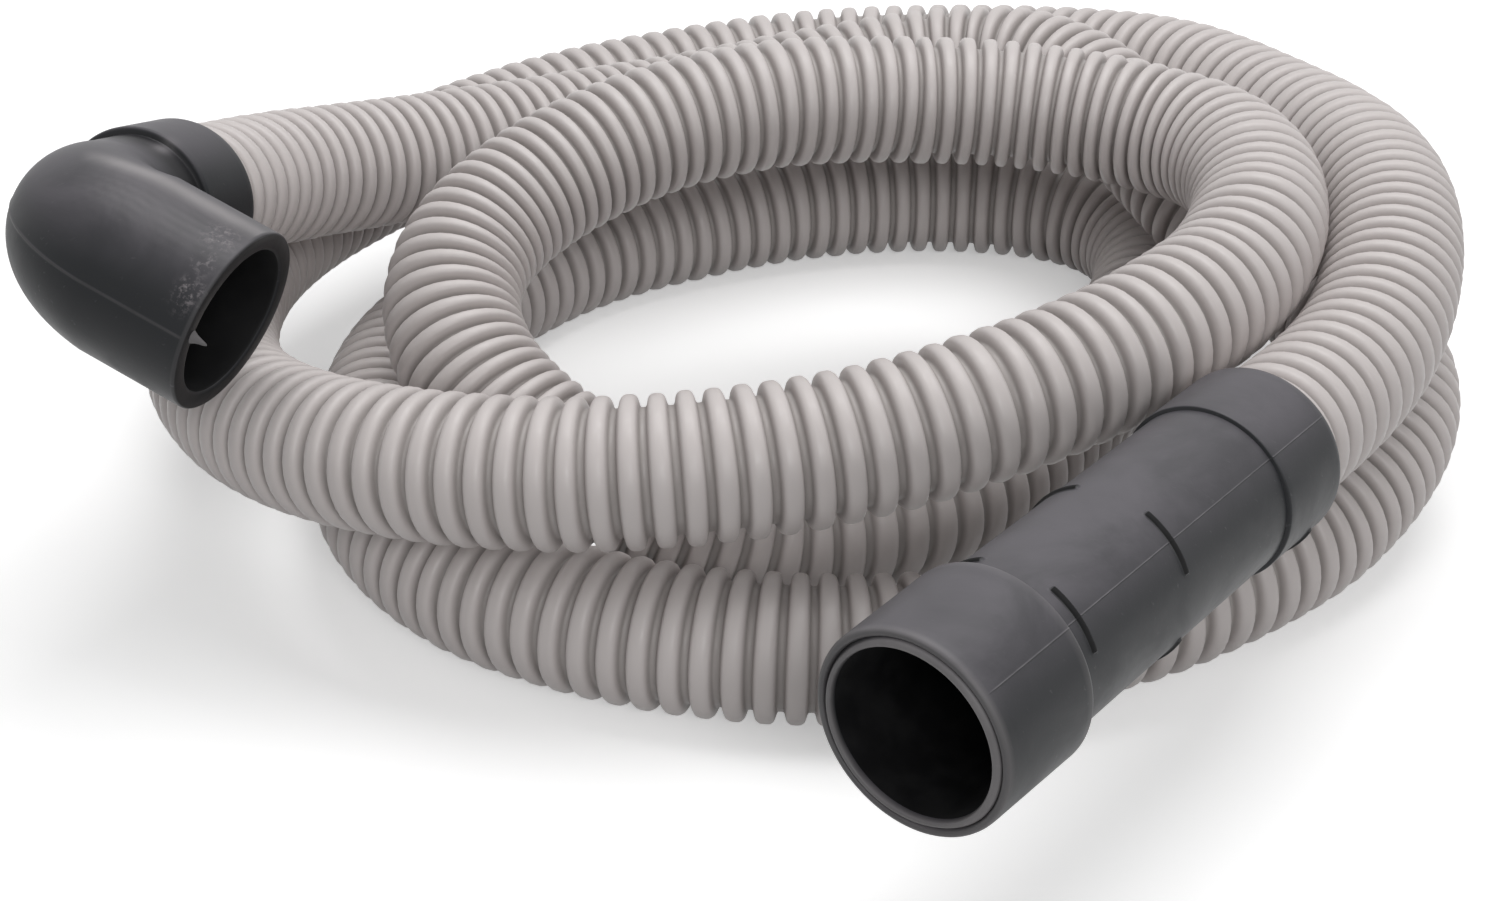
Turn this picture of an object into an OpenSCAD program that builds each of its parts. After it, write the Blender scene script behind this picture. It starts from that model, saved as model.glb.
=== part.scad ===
// Vacuum hose: one long ribbed hose lying in loose loops, with a rubber cuff that turns on each end.
// Millimetres, +Z up. The origin is on the floor under the middle of the whole object.

/* [Hose] */
// Outside diameter over the ribs
hose_d = 48; // [46:0.5:48]
// Diameter at the bottom of the grooves between the ribs
groove_d = 40.4; // [39.6:0.2:41]
// Diameter of the hose's bore
bore_d = 37.2; // [34:0.2:37.2]
// Number of ribs along the hose
ribs = 190; // [60:1:190]
// Length of the plain band next to the neck at the straight cuff
band_l = 34; // [20:1:40]
// Length of the plain band next to the neck at the elbow
elbow_band_l = 15; // [12:1:20]
// Diameter of the plain neck that sits in each sleeve
neck_d = 42; // [41:0.1:42]

/* [End sleeves] */
// Outside diameter of the sleeve on each hose end
sleeve_d = 46; // [45.6:0.1:46.4]
// Length of sleeve over the hose's neck
sleeve_grip_l = 21; // [18:0.5:21]
// Length of sleeve beyond the hose's end
sleeve_lip_l = 6; // [4:0.5:6]
// Diameter of the flange that snaps into the cuff
flange_d = 50.6; // [50:0.1:51]
// Thickness of the flange
flange_t = 4; // [3:0.1:4]
// Distance from the hose's end to the flange
flange_s = 4; // [3:0.5:6]

/* [Straight cuff] */
// Length from the collar's end to the mouth
cuff_l = 187; // [180:1:200]
// Outside diameter of the collar
collar_d = 57; // [56:0.2:59]
// Length of the collar
collar_l = 34; // [30:1:40]
// Outside diameter of the plain barrel
barrel_d = 54.4; // [54:0.2:56]
// Outside diameter at the back of the cup
cup_back_d = 61.8; // [60:0.2:64]
// Outside diameter at the rim of the cup
cup_rim_d = 60.8; // [60:0.2:63]
// Length of the cup
cup_l = 40; // [35:1:45]
// Diameter of the socket that takes a tube
socket_d = 50.2; // [49:0.1:51]
// Depth of the socket from the mouth
socket_l = 60; // [50:1:70]
// Length of the soft ring in the mouth
lip_l = 12; // [8:0.5:14]
// Length of each raised grip arc round the barrel, in degrees
grip_deg = 45; // [30:1:60]

/* [Elbow cuff] */
// Outside diameter of the arm, which ends in the mouth
arm_d = 60.8; // [58:0.2:61]
// Length of the arm from the corner, where the two axes cross, to the mouth
arm_l = 61; // [58:1:66]
// Distance from the hose's end to the corner
corner_l = 42; // [40:1:46]
// Radius of the bend between the two axes
elbow_bend_r = 23.5; // [22:0.5:26]
// Outside diameter of the neck between the bend and the collar
elbow_neck_d = 50; // [49.6:0.2:52]
// Diameter of the elbow's socket
elbow_socket_d = 48.8; // [47:0.1:50]
// Depth of the elbow's socket from the mouth
elbow_socket_l = 32; // [28:1:36]
// Outside diameter of the elbow's collar
elbow_collar_d = 55.2; // [55:0.2:57]
// Length of the elbow's collar
elbow_collar_l = 32; // [30:1:34]
// Turn of the arm about the collar's axis
arm_turn = 69; // [60:1:75]

/* [Fits] */
// Radial clearance where a cuff turns on its sleeve
turn_gap = 0.06; // [0.05:0.01:0.1]
// Clearance on each side of the flange along the axis
end_gap = 0.3; // [0.2:0.05:0.4]
// Radial clearance between the hose's neck and its sleeve
neck_gap = 0.2; // [0.1:0.05:0.3]
// Radial clearance between the hose and the open end of a collar
collar_gap = 0.6; // [0.4:0.1:0.8]

/* [Hidden] */
$fn = 96;

// The hose's route, from its end in the straight cuff to its end in the elbow. The points steer a smooth curve
// whose first and last stretches are straight. The lowest runs lie on the floor.
route = [
    [79, -205, 83.5], [119, -155, 83.5], [159, -105, 83.5], [199, -55, 83.5],
    // up and round the back, the outermost loop
    [222, 15, 101], [220, 85, 96], [200, 145, 88], [175, 200, 84], [130, 240, 74], [75, 260, 68],
    [15, 265, 64], [-45, 245, 62], [-105, 210, 62], [-155, 165, 58], [-195, 105, 58], [-210, 40, 58],
    // across the front, rising towards the right
    [-200, -26, 57], [-166, -82, 66], [-115, -122, 78], [-50, -135, 84], [10, -125, 86], [65, -110, 92],
    [112, -82, 102], [155, -40, 106], [173, 13, 108], [165, 65, 112],
    // the top loop, back to the left and down inside
    [115, 95, 114], [50, 100, 118], [-25, 80, 116], [-75, 50, 108], [-115, 10, 92], [-115, -35, 74],
    [-80, -70, 52], [-30, -80, 32], [30, -70, 19], [80, -29, 19], [115, 26, 19], [145, 86, 19],
    // the loop on the floor: along the back, round the left and along the front
    [162, 141, 19], [148, 184, 19], [100, 206, 19], [40, 206, 19], [-25, 186, 19], [-85, 152, 19],
    [-120, 103, 19], [-145, 50, 26], [-145, -5, 26], [-140, -60, 19], [-95, -113, 19], [-35, -139, 19],
    [30, -144, 19], [95, -129, 19], [160, -92, 19],
    // up on the right, under the outermost loop, and along the back to the elbow
    [215, -39, 36], [225, 12, 47], [202, 60, 50], [166, 99, 66], [146, 142, 89], [120, 178, 98],
    [88, 198, 96], [40, 198, 86], [-15, 175, 80], [-82, 135, 84], [-140, 87, 92],
    [-183, 41, 105], [-196, -3, 118], [-209, -47, 131], [-222, -91, 144]
];
// Shift that brings the middle of the whole object over the origin
middle = [-0.5, 0, 0];

// Smooth curve along the route: a uniform cubic B-spline
spans = len(route) - 3;
steps = 12;
function weights(f) = [
    pow(1 - f, 3),
    3 * pow(f, 3) - 6 * f * f + 4,
    3 * f + 3 * f * f - 3 * pow(f, 3) + 1,
    pow(f, 3)] / 6;
function curve(u) =
    let (i = min(floor(u), spans - 1), w = weights(u - i))
    w[0] * route[i] + w[1] * route[i + 1] + w[2] * route[i + 2] + w[3] * route[i + 3] + middle;
line = [for (k = [0 : spans * steps]) curve(k / steps)];
last = len(line) - 1;
lengths = [for (k = 0, s = 0; k <= last; s = s + (k < last ? norm(line[k + 1] - line[k]) : 0), k = k + 1) s];
hose_l = lengths[last];
along = [for (k = [0 : last]) [lengths[k], k / steps]];
function place(s) = curve(lookup(s, along));

// A ring of the hose: eight corners square to the curve, with a flat side down
sides = 8;
probe = 0.5;
function unit(v) = v / norm(v);
function heading(s) = unit(place(min(s + probe, hose_l)) - place(max(s - probe, 0)));
function on_floor(p) = [p.x, p.y, max(p.z, 0)];
function ring(s, r) =
    let (c = place(s), t = heading(s), side = unit(cross(t, [0, 0, 1])), top = cross(side, t))
    [for (j = [0 : sides - 1])
        let (a = (j + 0.5) * 360 / sides)
        on_floor(c + r * (cos(a) * side + sin(a) * top))];

// Stations of the outside, from end to end: neck, plain band, ribs, plain band, neck
neck_l = sleeve_grip_l + 0.5;
band_start = neck_l + 1;
rib_start = neck_l + band_l;
rib_end = hose_l - neck_l - elbow_band_l;
rib_pitch = (rib_end - rib_start) / (ribs + 1);
crest_r = hose_d / 2;
groove_r = groove_d / 2;
neck_r = neck_d / 2;
bore_r = bore_d / 2;
first_stations = [[0, neck_r], [neck_l, neck_r], [band_start, crest_r], [rib_start, crest_r]];
last_stations = [[rib_end, crest_r], [hose_l - band_start, crest_r], [hose_l - neck_l, neck_r], [hose_l, neck_r]];
rib_stations = [for (i = [0 : ribs - 1]) each [
    [rib_start + (i + 0.5) * rib_pitch, groove_r],
    [rib_start + (i + 1) * rib_pitch, crest_r]]];
last_groove = [rib_start + (ribs + 0.5) * rib_pitch, groove_r];
outer_stations = concat(first_stations, rib_stations, [last_groove], last_stations);
bore_rings = 150;
bore_stations = [for (k = [0 : bore_rings - 1]) [hose_l * k / (bore_rings - 1), bore_r]];

// Triangles between two rings whose first corners have the numbers a and b
function skin(a, b, flip) = [for (j = [0 : sides - 1])
    let (n = (j + 1) % sides)
    each (flip
        ? [[a + j, a + n, b + n], [a + j, b + n, b + j]]
        : [[a + j, b + n, a + n], [a + j, b + j, b + n]])];

module hose() {
    outer = [for (q = outer_stations) each ring(q[0], q[1])];
    inner = [for (q = bore_stations) each ring(q[0], q[1])];
    n_out = len(outer_stations);
    n_in = len(bore_stations);
    first_in = n_out * sides;
    faces = concat(
        [for (k = [0 : n_out - 2]) each skin(k * sides, (k + 1) * sides, false)],
        [for (k = [0 : n_in - 2]) each skin(first_in + k * sides, first_in + (k + 1) * sides, true)],
        skin(0, first_in, true),
        skin((n_out - 1) * sides, first_in + (n_in - 1) * sides, false));
    color("#c3bab4") polyhedron(concat(outer, inner), faces);
}

// Least gap of the hose to itself, between points that are further apart along it than a tight bend
gap_step = 2;
near_l = 120;
gaps = [for (i = [0 : gap_step : last], j = [i + gap_step : gap_step : last])
    if (lengths[j] - lengths[i] > near_l) norm(line[i] - line[j]) - hose_d];
echo(hose_length = hose_l, least_gap = min(gaps));

// Stands its children's +Z along a direction, at a point
module aim(point, dir) {
    d = unit(dir);
    translate(point)
        rotate([0, acos(d.z), atan2(d.y, d.x)])
            children();
}
// The two hose ends: +Z points out of the hose, into its cuff
straight_end = route[1] + middle;
straight_out = route[0] - route[1];
elbow_end = route[len(route) - 2] + middle;
elbow_out = route[len(route) - 1] - route[len(route) - 2];

// How far a cut runs past a face
over = 1;
// Outline of a collar's rounded rear edge, from the face at height z out to the radius r
edge_r = 4;
function rear_edge(z, r) = [for (a = [0 : 18 : 90]) [r - edge_r + edge_r * sin(a), z + edge_r - edge_r * cos(a)]];

// A sleeve on a hose end, with its zero at the hose's end face. The hose's end stands on its inner shoulder.
sleeve_r = sleeve_d / 2;
module sleeve() {
    color("#2b2c2e") difference() {
        union() {
            translate([0, 0, -sleeve_grip_l]) cylinder(r = sleeve_r, h = sleeve_grip_l + sleeve_lip_l);
            translate([0, 0, -flange_s - flange_t]) cylinder(r = flange_d / 2, h = flange_t);
        }
        translate([0, 0, -sleeve_grip_l - over]) cylinder(r = neck_r + neck_gap, h = sleeve_grip_l + over);
        translate([0, 0, -over]) cylinder(r = bore_r, h = sleeve_lip_l + 2 * over);
    }
}
module straight_end_sleeve() { aim(straight_end, straight_out) sleeve(); }
module elbow_end_sleeve() { aim(elbow_end, elbow_out) sleeve(); }

// The space that a cuff leaves for its sleeve and hose, from the stop beyond the hose's end to the collar's end
passage_r = 20;
open_r = crest_r + collar_gap;
module sleeve_space(collar_end) {
    turn_r = sleeve_r + turn_gap;
    cap = 1;
    translate([0, 0, -sleeve_grip_l - cap]) cylinder(r = turn_r, h = sleeve_grip_l + sleeve_lip_l + cap + end_gap);
    translate([0, 0, -flange_s - flange_t - end_gap])
        cylinder(r = flange_d / 2 + turn_gap, h = flange_t + 2 * end_gap);
    translate([0, 0, -collar_end - cap]) cylinder(r = open_r, h = collar_end + cap - sleeve_grip_l - cap);
}

// Straight cuff, with its zero at the hose's end and +Z towards its mouth
straight_insert = 45;
mouth_z = cuff_l - straight_insert;
barrel_r = barrel_d / 2;
rim_r = cup_rim_d / 2;
cup_back_r = cup_back_d / 2;
collar_r = collar_d / 2;
lip_recess = 0.3;
lip_z = mouth_z - lip_recess - lip_l;
lip_d = 53.4;
lip_groove = 0.6;
grip_w = 2.4;
grip_h = 1.2;
// Places of the grip rings, from the mouth
grip_s = [48, 96];
module straight_body() {
    c = -straight_insert;
    rotate_extrude() polygon(concat([[0, c]], rear_edge(c, collar_r), [
        [collar_r, c + collar_l - 1], [collar_r - 0.6, c + collar_l], [barrel_r, c + collar_l],
        [barrel_r, mouth_z - cup_l], [cup_back_r - 1.5, mouth_z - cup_l], [cup_back_r, mouth_z - cup_l + 1.5],
        [rim_r + 0.3, mouth_z - 1.5], [rim_r - 1.2, mouth_z], [0, mouth_z]]));
}
module grip_arc(z) {
    translate([0, 0, z - grip_w / 2])
        rotate([0, 0, -grip_deg / 2])
            rotate_extrude(angle = grip_deg)
                translate([barrel_r - 1, 0]) square([1 + grip_h, grip_w]);
}
module straight_cuff() {
    color("#35363a") aim(straight_end, straight_out) difference() {
        union() {
            straight_body();
            for (s = grip_s, a = [45 : 90 : 315]) rotate([0, 0, a]) grip_arc(mouth_z - s);
        }
        sleeve_space(straight_insert);
        cylinder(r = passage_r, h = mouth_z);
        translate([0, 0, mouth_z - socket_l]) cylinder(d = socket_d, h = socket_l + over);
        translate([0, 0, lip_z]) cylinder(r = lip_d / 2 + lip_groove, h = lip_l + lip_recess + over);
    }
}
// Soft ring that stands on the floor of the recess in the cup's mouth
module cup_lip_ring() {
    color("#4b4c50") aim(straight_end, straight_out) translate([0, 0, lip_z]) difference() {
        cylinder(d = lip_d, h = lip_l);
        translate([0, 0, -over]) cylinder(d = socket_d, h = lip_l + 2 * over);
    }
}

// Elbow cuff, with its zero at the hose's end, +Z towards its corner and the arm along +X
arm_r = arm_d / 2;
elbow_neck_r = elbow_neck_d / 2;
elbow_collar_r = elbow_collar_d / 2;
collar_front = 2;
heel_steps = 6;
// Places its children on the bend, at the angle a from the neck's end of it to the arm's
module on_bend(a) {
    translate([elbow_bend_r, 0, corner_l - elbow_bend_r])
        rotate([0, a - 90, 0])
            translate([0, 0, elbow_bend_r])
                children();
}
module elbow_collar() {
    c = collar_front - elbow_collar_l;
    rotate_extrude() polygon(concat([[0, c]], rear_edge(c, elbow_collar_r), [
        [elbow_collar_r, collar_front - 1], [elbow_collar_r - 1, collar_front], [0, collar_front]]));
}
module elbow_passage() {
    cylinder(r = passage_r, h = corner_l - elbow_bend_r);
    translate([elbow_bend_r, 0, corner_l - elbow_bend_r])
        rotate([90, 0, 0])
            rotate([0, 0, 90])
                rotate_extrude(angle = 90) translate([elbow_bend_r, 0]) circle(r = passage_r);
    translate([elbow_bend_r, 0, corner_l]) rotate([0, 90, 0]) cylinder(r = passage_r, h = arm_l - elbow_bend_r);
}
module elbow_cuff() {
    color("#35363a") aim(elbow_end, elbow_out) rotate([0, 0, arm_turn]) difference() {
        union() {
            elbow_collar();
            cylinder(r = elbow_neck_r, h = corner_l - elbow_bend_r);
            // the heel narrows from the arm to the neck
            for (k = [0 : heel_steps])
                on_bend(90 * k / heel_steps) sphere(r = elbow_neck_r + (arm_r - elbow_neck_r) * k / heel_steps);
            translate([elbow_bend_r, 0, corner_l]) rotate([0, 90, 0]) cylinder(r = arm_r, h = arm_l - elbow_bend_r);
        }
        sleeve_space(elbow_collar_l - collar_front);
        elbow_passage();
        translate([arm_l - elbow_socket_l, 0, corner_l]) rotate([0, 90, 0])
            cylinder(d = elbow_socket_d, h = elbow_socket_l + over);
    }
}

hose();
straight_end_sleeve();
elbow_end_sleeve();
straight_cuff();
cup_lip_ring();
elbow_cuff();
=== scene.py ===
"""Vacuum hose: a long ribbed hose in loose loops, with a straight and a right-angle rubber cuff.

Both cuffs turn on the hose's ends. Shapes are worked out in millimetres and become metres in their meshes.
"""
import math

import bpy
import numpy as np
from mathutils import Matrix, Vector


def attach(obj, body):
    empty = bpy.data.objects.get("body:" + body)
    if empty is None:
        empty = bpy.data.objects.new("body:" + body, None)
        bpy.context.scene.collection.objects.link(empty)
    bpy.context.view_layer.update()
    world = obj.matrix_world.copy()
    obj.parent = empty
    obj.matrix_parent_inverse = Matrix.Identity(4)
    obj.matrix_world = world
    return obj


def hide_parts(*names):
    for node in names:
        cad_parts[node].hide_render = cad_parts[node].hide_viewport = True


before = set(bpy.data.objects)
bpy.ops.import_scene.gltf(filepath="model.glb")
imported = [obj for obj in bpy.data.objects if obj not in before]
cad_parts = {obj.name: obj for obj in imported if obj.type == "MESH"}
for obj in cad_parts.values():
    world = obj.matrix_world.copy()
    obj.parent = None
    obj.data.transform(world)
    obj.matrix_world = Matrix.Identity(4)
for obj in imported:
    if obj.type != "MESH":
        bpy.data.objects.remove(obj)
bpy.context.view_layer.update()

MM = 0.001
rng = np.random.default_rng(7)


# ---------------------------------------------------------------- camera

camera = bpy.data.objects.new("camera", bpy.data.cameras.new("camera"))
bpy.context.scene.collection.objects.link(camera)
camera.location = (-0.0105, -0.750, 0.4485)
camera.rotation_euler = (math.radians(59.9), 0, 0)
camera.data.sensor_width = 36
camera.data.lens = 56.64
camera.data.clip_start = 0.01
camera.data.clip_end = 50
bpy.context.scene.camera = camera


# ---------------------------------------------------------------- mesh helpers

SIDEWAYS = np.array([0, 1.0, 0])


def unit(v):
    v = np.asarray(v, float)
    return v / np.linalg.norm(v, axis=-1, keepdims=True)


def grid_faces(rows, columns, first=0, close_rows=False, flip=False):
    """Quads between rows of points that close round, as index lists."""
    i = np.arange(rows if close_rows else rows - 1)[:, None]
    j = np.arange(columns)[None, :]
    a, b = i * columns, (i + 1) % rows * columns
    k = (j + 1) % columns
    quads = np.stack([a + j, a + k, b + k, b + j], -1).reshape(-1, 4) + first
    return (quads[:, ::-1] if flip else quads).tolist()


def mesh_object(name, points, faces, material, sharp=None, **attributes):
    """A smooth object with edges sharp past an angle in degrees, and values on its points."""
    mesh = bpy.data.meshes.new(name)
    mesh.from_pydata(np.asarray(points).reshape(-1, 3).tolist(), [], faces)
    for key, values in attributes.items():
        layer = mesh.attributes.new(key, "FLOAT", "POINT")
        layer.data.foreach_set("value", np.asarray(values, np.float32).ravel())
    mesh.validate()
    mesh.shade_smooth()
    if sharp:
        mesh.set_sharp_from_angle(angle=math.radians(sharp))
    mesh.materials.append(material)
    ob = bpy.data.objects.new(name, mesh)
    bpy.context.scene.collection.objects.link(ob)
    return ob


def paint_faces(ob, chosen, material):
    """Gives some faces a second material. They are the first faces of the mesh, by rows and columns."""
    ob.data.materials.append(material)
    index = np.asarray(chosen, np.int32).ravel()
    assert len(index) <= len(ob.data.polygons)
    index = np.pad(index, (0, len(ob.data.polygons) - len(index)))
    ob.data.polygons.foreach_set("material_index", index)


def aim(point, direction, turn=0.0):
    """The frame whose +Z runs along a direction from a point, as the CAD's aim() makes it."""
    d = unit(direction)
    return (Matrix.Translation(point)
            @ Matrix.Rotation(math.atan2(d[1], d[0]), 4, "Z")
            @ Matrix.Rotation(math.acos(d[2]), 4, "Y")
            @ Matrix.Rotation(math.radians(turn), 4, "Z"))


def placed(points, matrix):
    """Local points in millimetres, in the row frame in metres."""
    m = np.array(matrix)
    return (np.asarray(points) @ m[:3, :3].T + m[:3, 3]) * MM


# ---------------------------------------------------------------- material helpers

def shader(name, color, roughness, **sockets):
    mat = bpy.data.materials.new(name)
    mat.use_nodes = True
    bsdf = mat.node_tree.nodes["Principled BSDF"]
    bsdf.inputs["Base Color"].default_value = (*color, 1)
    bsdf.inputs["Roughness"].default_value = roughness
    for key, value in sockets.items():
        bsdf.inputs[key.replace("_", " ")].default_value = value
    return mat, mat.node_tree, bsdf


def node(tree, kind, links=(), inputs=(), **settings):
    """A new node with its settings, its inputs' values and the sockets linked into it."""
    n = tree.nodes.new(kind)
    for key, value in settings.items():
        setattr(n, key, value)
    for key, value in dict(inputs).items():
        n.inputs[key].default_value = value
    for key, source in dict(links).items():
        tree.links.new(source, n.inputs[key])
    return n


def object_place(tree):
    return node(tree, "ShaderNodeTexCoord").outputs["Object"]


def painted(tree, name):
    """A value that the mesh carries on its points."""
    return node(tree, "ShaderNodeAttribute", attribute_name=name).outputs["Fac"]


def noise(tree, where, scale, detail=4.0, rough=0.55, distort=0.0):
    values = {"Scale": scale, "Detail": detail, "Roughness": rough, "Distortion": distort}
    return node(tree, "ShaderNodeTexNoise", {"Vector": where}, values).outputs["Fac"]


def remap(tree, value, low, high, to_low=0.0, to_high=1.0):
    """Eases a value from one range into another."""
    values = {"From Min": low, "From Max": high, "To Min": to_low, "To Max": to_high}
    return node(tree, "ShaderNodeMapRange", {"Value": value}, values,
                interpolation_type="SMOOTHSTEP").outputs["Result"]


def math_node(tree, operation, a, b):
    """Works with two values, each a number or a socket."""
    n = node(tree, "ShaderNodeMath", operation=operation)
    for socket, value in zip(n.inputs, (a, b)):
        if isinstance(value, (int, float)):
            socket.default_value = value
        else:
            tree.links.new(value, socket)
    return n.outputs[0]


def length(tree, vector):
    return node(tree, "ShaderNodeVectorMath", {0: vector}, operation="LENGTH").outputs["Value"]


def blend_colors(tree, factor, a, b):
    """Mixes two colours, each a value or a socket."""
    n = node(tree, "ShaderNodeMix", {0: factor}, data_type="RGBA")
    for key, value in ((6, a), (7, b)):
        if isinstance(value, tuple):
            n.inputs[key].default_value = (*value, 1)
        else:
            tree.links.new(value, n.inputs[key])
    return n.outputs[2]


def bump(tree, height, distance, strength, normal=None):
    values = {"Strength": strength, "Distance": distance}
    n = node(tree, "ShaderNodeBump", {"Height": height}, values)
    if normal is not None:
        tree.links.new(normal, n.inputs["Normal"])
    return n.outputs["Normal"]


def finish_shader(tree, bsdf, color, rough, normal):
    for key, source in (("Base Color", color), ("Roughness", rough), ("Normal", normal)):
        tree.links.new(source, bsdf.inputs[key])


# ---------------------------------------------------------------- materials

def hose_plastic():
    """Satin grey-beige polyethylene: painted shade in the grooves, dusty in patches, each rib a tone of its
    own.
    """
    light, dark = (0.600, 0.556, 0.545), (0.235, 0.215, 0.205)
    dusty, bright = (0.52, 0.482, 0.466), (0.68, 0.64, 0.628)
    mat, tree, bsdf = shader("hose_plastic", light, 0.42, Specular_IOR_Level=0.4)
    where = object_place(tree)
    patches = noise(tree, where, 9.0, 3.0)
    grain = noise(tree, where, 420.0, 3.0, 0.6)
    # painted shade: the colour darkens towards the deepest part of each groove
    deep = remap(tree, painted(tree, "groove"), 0.3, 1.0, 0.0, 0.85)
    deep = math_node(tree, "MULTIPLY", deep, remap(tree, patches, 0.2, 0.8, 0.8, 1.0))
    color = blend_colors(tree, deep, light, dark)
    color = blend_colors(tree, remap(tree, patches, 0.35, 0.75, 0.0, 0.16), color, dusty)
    color = blend_colors(tree, remap(tree, painted(tree, "tone"), 0.0, 1.0, 0.0, 0.16), color, bright)
    rough = remap(tree, grain, 0.3, 0.75, 0.36, 0.52)
    fine = bump(tree, grain, 0.00006, 0.35)
    wavy = bump(tree, noise(tree, where, 60.0, 2.0), 0.0006, 0.12, fine)
    finish_shader(tree, bsdf, color, rough, wavy)
    return mat


def cuff_rubber(name, scuffs=(), dust_and_top_light=1.0, gloss=0.3):
    """Charcoal moulded rubber with a satin skin: upward faces lighter in cloudy patches, a dusty film that
    also paints the light from above; faint drag marks, specks, whitish scuffs.

    A scuff is a place, a radius and an amount. The mesh says where the skin is darkened with painted shade,
    on grip arcs and hollows, and where it is lighter with wear and painted highlights.
    """
    base, dust_and_top_light_color = (0.0165, 0.0178, 0.0200), (0.108, 0.102, 0.114)
    drag_color, scuff_color, speck_color = (0.125, 0.122, 0.130), (0.26, 0.24, 0.25), (0.14, 0.14, 0.14)
    pale_color, mark_color = (0.30, 0.285, 0.29), (0.010, 0.010, 0.011)
    mat, tree, bsdf = shader(name, base, 0.45, Specular_IOR_Level=gloss)
    coordinates = node(tree, "ShaderNodeTexCoord").outputs
    where = coordinates["Object"]
    upward = node(tree, "ShaderNodeSeparateXYZ", {0: coordinates["Normal"]}).outputs["Z"]
    cloud = noise(tree, where, 28.0, 5.0, 0.6, 0.6)
    grain = noise(tree, where, 900.0, 3.0, 0.65)
    stretched = node(tree, "ShaderNodeMapping", {"Vector": where}, {"Scale": (180.0, 900.0, 500.0)})
    drags = noise(tree, stretched.outputs["Vector"], 1.0, 3.0, 0.5)
    # dust and painted light: upward faces lighten towards a paler colour, a dusty film that also stands in for
    # the top light
    dust_and_top_light_mask = math_node(tree, "MULTIPLY", remap(tree, upward, 0.40, 0.97, 0.02, 1.0),
                        remap(tree, cloud, 0.3, 0.68, 0.5, 1.0))
    color = blend_colors(tree, math_node(tree, "MULTIPLY", dust_and_top_light_mask, dust_and_top_light), base, dust_and_top_light_color)
    color = blend_colors(tree, remap(tree, drags, 0.66, 0.8, 0.0, 0.35), color, drag_color)
    rough = remap(tree, cloud, 0.3, 0.75, 0.38, 0.54)
    for centre, radius, amount in scuffs:
        offset = node(tree, "ShaderNodeVectorMath", {0: where}, operation="SUBTRACT")
        offset.inputs[1].default_value = centre
        near = remap(tree, length(tree, offset.outputs[0]), radius, 0.0, 0.0, 1.0)
        torn = remap(tree, noise(tree, where, 560.0, 4.0, 0.7), 0.47, 0.66, 0.0, amount)
        mask = math_node(tree, "MULTIPLY", near, torn)
        color = blend_colors(tree, mask, color, scuff_color)
        rough = math_node(tree, "ADD", rough, math_node(tree, "MULTIPLY", mask, 0.2))
    speck = noise(tree, where, 1500.0, 2.0, 0.7)
    color = blend_colors(tree, remap(tree, speck, 0.74, 0.82, 0.0, 0.25), color, speck_color)
    # wear and painted highlights: rubbed edges, parting lines, the lip's bead and the elbow's arm are
    # lightened
    pale = math_node(tree, "MULTIPLY", painted(tree, "pale"), remap(tree, cloud, 0.2, 0.7, 0.55, 1.0))
    color = blend_colors(tree, pale, color, pale_color)
    # painted shade: grip arcs, the elbow's recess and its mouth's face are darkened towards near black
    color = blend_colors(tree, painted(tree, "mark"), color, mark_color)
    fine = bump(tree, grain, 0.00005, 0.45)
    wavy = bump(tree, noise(tree, where, 55.0, 2.0), 0.0008, 0.15, fine)
    finish_shader(tree, bsdf, color, rough, wavy)
    return mat


def painted_shade_rubber():
    """The same rubber inside the mouths and on the grip arcs, made matt and nearly black as painted shade."""
    low, high = (0.0045, 0.0045, 0.005), (0.010, 0.010, 0.0105)
    mat, tree, bsdf = shader("painted_shade_rubber", (0.006, 0.006, 0.0065), 0.7, Specular_IOR_Level=0.2)
    where = object_place(tree)
    cloud = noise(tree, where, 120.0, 4.0, 0.6)
    color = blend_colors(tree, remap(tree, cloud, 0.4, 0.8), low, high)
    rough = remap(tree, cloud, 0.3, 0.7, 0.6, 0.8)
    finish_shader(tree, bsdf, color, rough, bump(tree, noise(tree, where, 500.0, 3.0), 0.0001, 0.3))
    return mat


def sleeve_plastic():
    """Hard black plastic of the hidden sleeves, with a fine grain."""
    low, high = (0.016, 0.016, 0.017), (0.03, 0.03, 0.031)
    mat, tree, bsdf = shader("sleeve_plastic", (0.02, 0.02, 0.021), 0.4)
    grain = noise(tree, object_place(tree), 300.0, 3.0)
    color = blend_colors(tree, grain, low, high)
    rough = remap(tree, grain, 0.3, 0.7, 0.34, 0.5)
    finish_shader(tree, bsdf, color, rough, bump(tree, grain, 0.00005, 0.4))
    return mat


# Pale torn flecks where the elbow's mouth has been dragged over things: place and radius in metres, and amount
MOUTH_SCUFFS = [((-0.1672, -0.1130, 0.1525), 0.0085, 0.9), ((-0.1706, -0.1223, 0.1487), 0.006, 0.6),
                ((-0.1744, -0.1291, 0.1426), 0.007, 0.8), ((-0.1765, -0.1290, 0.1380), 0.006, 0.5)]

HOSE = hose_plastic()
CUFF = cuff_rubber("cuff_rubber")
ELBOW = cuff_rubber("elbow_rubber", MOUTH_SCUFFS, dust_and_top_light=0.9, gloss=0.2)
LIP = cuff_rubber("lip_rubber")
SHADE_RUBBER = painted_shade_rubber()
SLEEVE = sleeve_plastic()


# ---------------------------------------------------------------- the hose's route

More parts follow.
